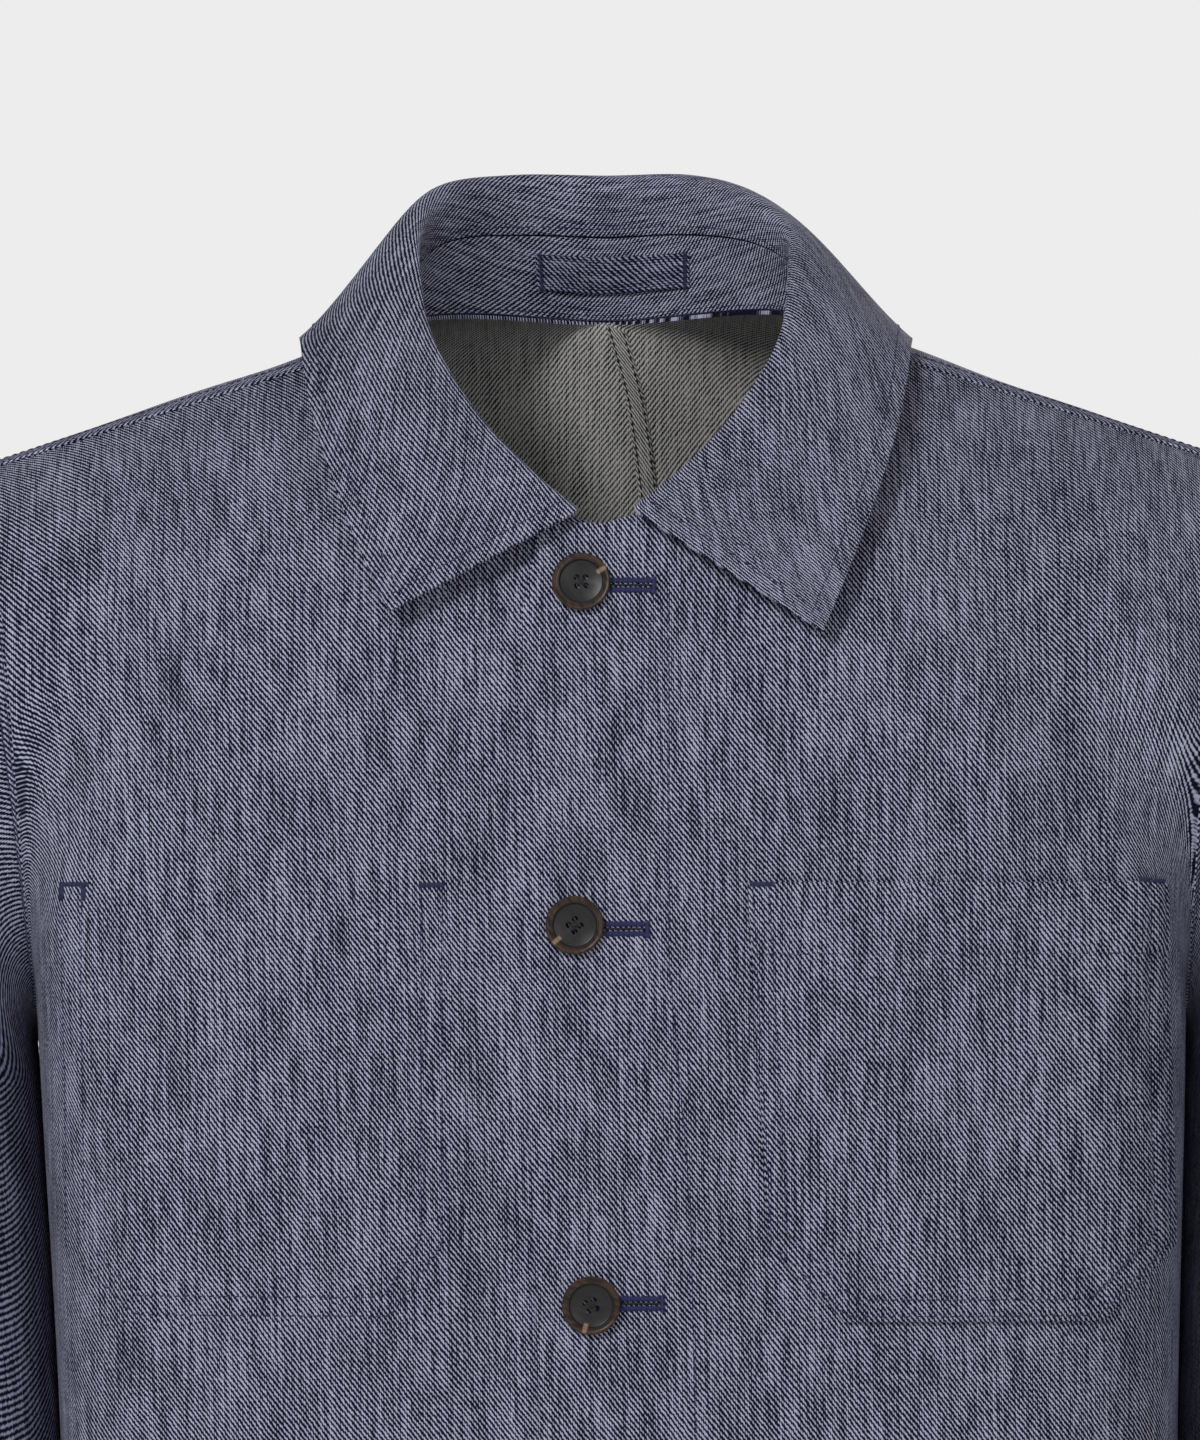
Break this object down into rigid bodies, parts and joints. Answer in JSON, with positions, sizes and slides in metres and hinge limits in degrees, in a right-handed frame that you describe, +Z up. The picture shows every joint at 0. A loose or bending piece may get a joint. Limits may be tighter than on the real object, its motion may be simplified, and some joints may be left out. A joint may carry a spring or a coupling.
{
  "type": "chore jacket",
  "caption": "Hollow long-sleeved chore jacket in slubbed twill, turned-down collar, buttoned front and a patch chest pocket.",
  "frame": {"origin": "middle of the neck hole, level with the tops of the shoulders", "axes": "+Z up the wearer, +X to the wearer's left, -Y out of the buttoned front"},
  "size_m": [0.6504, 0.2236, 0.7666],
  "materials": {
    "twill": "indigo and ecru slubbed twill",
    "twill_strip": "folded twill strip",
    "horn_buttons": "polished dark horn"
  },
  "bodies": {
    "root": {"front_left": "twill", "front_right": "twill", "back_left": "twill", "back_right": "twill", "sleeve_left": "twill", "sleeve_right": "twill", "collar_stand": "twill", "collar_leaf": "twill", "chest_pocket": "twill", "inner_pocket": "twill", "hanger_loop": "twill_strip", "button_1": "horn_buttons", "button_2": "horn_buttons", "button_3": "horn_buttons", "button_4": "horn_buttons", "button_5": "horn_buttons"}
  },
  "joints": []
}
